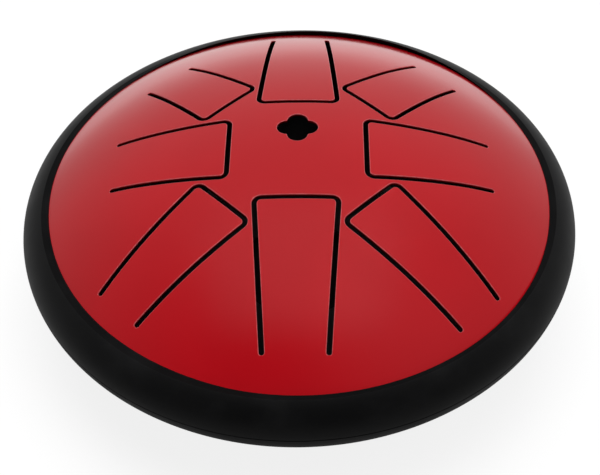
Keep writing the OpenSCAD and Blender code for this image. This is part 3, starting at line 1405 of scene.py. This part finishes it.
@dataclass
class Foot:
    """One rubber foot, square to the shell and cut level at the table.

    Attributes:
        name: the foot's node.
        turn: its angle from the front.
        slope: the shell's slope where it sits.
        top_r: its radius at the shell.
        low_r: its radius at the table.
        bore_r: radius of the screw's hole.
        recess_r: radius of the recess for the screw's head.
        seat: thickness of the rubber under the screw's head.
        bevel_w: width of the bevel at the shell.
        bevel_h: its height.
        straight_h: height of the straight side above the table.
        rounding: rounding of the sole.
        recess_rounding: rounding of the recess's mouth.
        rounding_steps: steps of the sole's rounding.
        recess_steps: steps of the mouth's rounding.
        steps: steps round the foot.
        sharp: angle in degrees above which an edge stays crisp.
    """

    name: str
    turn: float
    slope: float = math.radians(13.7)
    top_r: float = 11.5 * MM
    low_r: float = 10.5 * MM
    bore_r: float = 2.15 * MM
    recess_r: float = 4.5 * MM
    seat: float = 5 * MM
    bevel_w: float = 0.3 * MM
    bevel_h: float = 0.4 * MM
    straight_h: float = 3.3 * MM
    rounding: float = 1.1 * MM
    recess_rounding: float = 0.66 * MM
    rounding_steps: int = 5
    recess_steps: int = 4
    steps: int = 72
    sharp: float = 50.0

    def axis(self) -> Vector:
        """Finds the direction from the shell down to the table.

        Returns:
            The unit vector.
        """
        out = math.sin(self.slope)
        return Vector((
            math.sin(self.turn) * out, -math.cos(self.turn) * out, -math.cos(self.slope)))

    def build(self) -> None:
        """Makes the foot."""
        axis = self.axis()
        start = Vector((0.0, 0.0, SHELL.joint_z - SHELL.crown_z)) + axis * SHELL.crown
        across = axis.orthogonal().normalized()
        aside = axis.cross(across)
        near, inner = self.rounding, self.recess_rounding
        sole = (self.low_r - near, -near)
        rim = (self.recess_r + inner, -inner)
        bevel = [(self.top_r - self.bevel_w, 0.0), (self.top_r, self.bevel_h)]
        profile = [(self.bore_r, 0.0)] + bevel
        shell_points = len(profile)
        profile += [(self.low_r, -self.straight_h)]
        profile += arc(sole, near, 0.0, QUARTER_TURN, self.rounding_steps)
        profile += arc(rim, inner, QUARTER_TURN, math.pi, self.recess_steps)
        floor_points = len(profile)
        profile += [(self.recess_r, self.seat), (self.bore_r, self.seat)]

        def place(i: int, turn: float) -> Vector:
            """Places a point of the section.

            Args:
                i: the point's number.
                turn: the angle round the foot.

            Returns:
                The point, measured from the shell, the table or the screw's seat.
            """
            radius, run = profile[i]
            base = start + (across * math.cos(turn) + aside * math.sin(turn)) * radius
            if i < shell_points:
                run += math.sqrt(SHELL.crown ** 2 - radius ** 2) - SHELL.crown
            elif i < floor_points:
                run += -base.z / axis.z
            return base + axis * run

        mesh = lathe(f"{self.name}_rubber", len(profile), self.steps, place, self.sharp)
        foot = link(f"{self.name}_rubber", mesh, [Finish.FOOT], self.name)
        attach(foot, ROOT)


@dataclass
class Underside:
    """The four feet and the steel small parts.

    Attributes:
        feet: the feet's nodes, from the front right anticlockwise.
        fasteners: the nodes of the screws, washers and nuts.
    """

    feet: tuple[str, ...] = (
        "foot_front_right", "foot_back_right", "foot_back_left", "foot_front_left")
    fasteners: tuple[str, ...] = ("foot_screws", "foot_washers", "foot_nuts")

    def build(self) -> None:
        """Makes the feet and dresses the screws, washers, nuts and the weld."""
        for i, name in enumerate(self.feet):
            Foot(name, QUARTER_TURN / 2 + i * QUARTER_TURN).build()
        for node in self.fasteners:
            self._dress(node, Finish.ZINC)
        self._dress("weld_bead", Finish.WELD)

    @staticmethod
    def _dress(node: str, finish: Finish) -> None:
        """Gives a node a finish and keeps its shape.

        Args:
            node: the node's name.
            finish: its finish.
        """
        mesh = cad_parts[node].data
        mesh.materials.clear()
        mesh.materials.append(finish.material())
        log.info("%s keeps its own shape", node)


@dataclass(frozen=True)
class Lamp:
    """A square soft box that faces the drum and isn't mirrored in it.

    Attributes:
        name: the lamp's name.
        place: its position in metres.
        size: its side in metres.
        watts: its power.
    """

    name: str
    place: Place
    size: float
    watts: float

    def build(self) -> None:
        """Adds the lamp."""
        data = bpy.data.lights.new(self.name, "AREA")
        data.size = self.size
        data.energy = self.watts
        lamp = bpy.data.objects.new(self.name, data)
        lamp.location = self.place
        lamp.rotation_euler = (-Vector(self.place)).to_track_quat("-Z", "Y").to_euler()
        lamp.visible_glossy = False
        bpy.context.scene.collection.objects.link(lamp)


@dataclass
class Studio:
    """Camera, lamps, world and floor.

    Each span holds the two values between which something fades in.

    Attributes:
        image_w: the picture's width in pixels.
        focal_px: the lens's focal length in pixels.
        sensor: the sensor's width in millimetres.
        pitch: how far the camera looks down.
        roll: how far it is tilted.
        around: how far it stands round from the front.
        unit: the length in which aim is given.
        aim: the camera's place, as right, up and back.
        view_depth: how far it sees, in metres.
        back_glow: the world's strength at the back, with its span and its power.
        side_glow: its strength at the sides.
        low_glow: its strength low down at the back, with its span.
        floor_size: the floor's side in metres.
        floor_glow: share of the floor's white that is its own.
        painted_shadow: a painted shadow, a dark floor colour under the sound port, with the span
            where it ends.
        mirrored_front: share of the floor's glow that reaches the drum in front.
        mirrored_back: how much is added to it behind, with its span.
        white_span: distances between which the floor turns to pure white.
        lamps: the soft boxes.
    """

    image_w: int = 600
    focal_px: float = 1250.0
    sensor: float = 36.0
    pitch: float = math.radians(47.22)
    roll: float = math.radians(1.368)
    around: float = math.radians(1.574)
    unit: float = 114 * MM
    aim: Place = (0.00248, -0.18651, 5.0233)
    view_depth: float = 50.0
    back_glow: float = 0.56
    back_span: Point = (-0.42, 1.0)
    back_power: float = 1.6
    side_glow: float = 0.2
    low_glow: float = 0.45
    low_span: Point = (0.6, 1.2)
    floor_size: float = 8.0
    floor_glow: float = 0.84
    # Painted shadow: the floor's colour is dark under the sound port and turns pale across the
    # span.
    painted_shadow: Colour = (0.01, 0.01, 0.01)
    painted_shadow_span: Point = (0.045, 0.085)
    mirrored_front: float = 0.14
    mirrored_back: float = 0.8
    mirrored_span: Point = (-0.15, 0.3)
    white_span: Point = (0.3, 1.2)
    lamps: tuple[Lamp, ...] = (
        Lamp("key", (0.0, 0.35, 2.0), 1.5, 37.0),
        Lamp("fill", (0.9, -0.4, 1.8), 1.4, 8.0),
        Lamp("front", (0.0, -1.8, 1.2), 1.6, 6.0),
    )

    def camera(self) -> None:
        """Places the camera that matches the photograph."""
        forward = Vector((0, math.cos(self.pitch), -math.sin(self.pitch)))
        right = Vector((1, 0, 0))
        up = right.cross(forward)
        spin = Matrix.Rotation(self.around, 3, "Z")
        place = spin @ (right * self.aim[0] + up * self.aim[1] - forward * self.aim[2]) * self.unit
        place.z += SHELL.joint_z + SHELL.height(self.unit)
        c, s = math.cos(self.roll), math.sin(self.roll)
        axes = [spin @ (right * c - up * s), spin @ (right * s + up * c), spin @ -forward]
        data = bpy.data.cameras.new("camera")
        data.sensor_width = self.sensor
        data.sensor_fit = "HORIZONTAL"
        data.lens = self.focal_px / self.image_w * self.sensor
        data.clip_end = self.view_depth
        camera = bpy.data.objects.new("camera", data)
        camera.matrix_world = Matrix.Translation(place) @ Matrix(axes).transposed().to_4x4()
        bpy.context.scene.collection.objects.link(camera)
        bpy.context.scene.camera = camera

    def world(self) -> None:
        """Makes a room that is white to look at, but lights the drum less from the front."""
        world = bpy.data.worlds.new("studio")
        world.use_nodes = True
        bpy.context.scene.world = world
        graph = Graph(world.node_tree)
        direction = graph.out("ShaderNodeTexCoord", {}, {}, "Generated")
        parts = graph.node("ShaderNodeSeparateXYZ", {}, {0: direction})
        side, back, height = (Wire(graph, output) for output in parts.outputs)
        towards_back = graph.stretch(back, *self.back_span) ** self.back_power
        low = graph.ramp(back - height, *self.low_span)
        glow = self.back_glow * towards_back + self.side_glow * side * side + self.low_glow * low
        rays = graph.node("ShaderNodeLightPath", {}, {})
        seen = Wire(graph, rays.outputs["Is Camera Ray"])
        level = seen + (1 - seen) * glow
        inputs = {"Color": (1, 1, 1, 1), "Strength": level}
        background = graph.out("ShaderNodeBackground", {}, inputs)
        graph.node("ShaderNodeOutputWorld", {}, {"Surface": background})

    def floor(self) -> None:
        """Makes a white floor that keeps a soft shadow and carries a painted shadow under the sound
        port.
        """
        half = self.floor_size / 2
        mesh = bpy.data.meshes.new("floor")
        corners = [(-half, -half, 0), (half, -half, 0), (half, half, 0), (-half, half, 0)]
        mesh.from_pydata(corners, [], [(0, 1, 2, 3)])
        floor = bpy.data.objects.new("floor", mesh)
        bpy.context.scene.collection.objects.link(floor)
        material, graph = new_material("studio_floor")
        rays = graph.node("ShaderNodeLightPath", {}, {})
        seen = Wire(graph, rays.outputs["Is Camera Ray"])
        place = graph.out("ShaderNodeTexCoord", {}, {}, "Object")
        parts = graph.node("ShaderNodeSeparateXYZ", {}, {0: place})
        reach = graph.out("ShaderNodeVectorMath", {"operation": "LENGTH"}, {0: place}, "Value")
        # 0 inside the painted shadow under the sound port, where the floor's glow is also taken
        # out, and 1 beyond it.
        clear = graph.ramp(reach, *self.painted_shadow_span)
        behind = graph.stretch(Wire(graph, parts.outputs["Y"]), *self.mirrored_span)
        mirrored = self.mirrored_front + self.mirrored_back * behind
        share = clear * (seen + (1 - seen) * mirrored)
        shown = graph.mix((0.0, 0.0, 0.0), (1.0, 1.0, 1.0), share)
        pale = (1 - self.floor_glow,) * 3
        # The floor's colour carries the painted shadow under the sound port.
        floor_colour_and_painted_shadow = graph.mix(self.painted_shadow, pale, clear)
        diffuse = graph.out("ShaderNodeBsdfDiffuse", {}, {"Color": floor_colour_and_painted_shadow})
        far = graph.ramp(reach, *self.white_span)
        strength = self.floor_glow + (1 - self.floor_glow) * far
        glow = graph.out("ShaderNodeEmission", {}, {"Color": shown, "Strength": strength})
        surface = graph.out("ShaderNodeAddShader", {}, {0: diffuse, 1: glow})
        graph.node("ShaderNodeOutputMaterial", {}, {"Surface": surface})
        mesh.materials.append(material)

    def build(self) -> None:
        """Sets up the whole studio."""
        self.camera()
        self.world()
        self.floor()
        for lamp in self.lamps:
            lamp.build()
        bpy.context.scene.view_settings.view_transform = "Standard"


def main() -> None:
    """Builds the studio and the drum."""
    Studio().build()
    PlayingSide().build()
    EdgeBand().build()
    LowerShell().build()
    Underside().build()


if __name__ == "__main__":
    main()
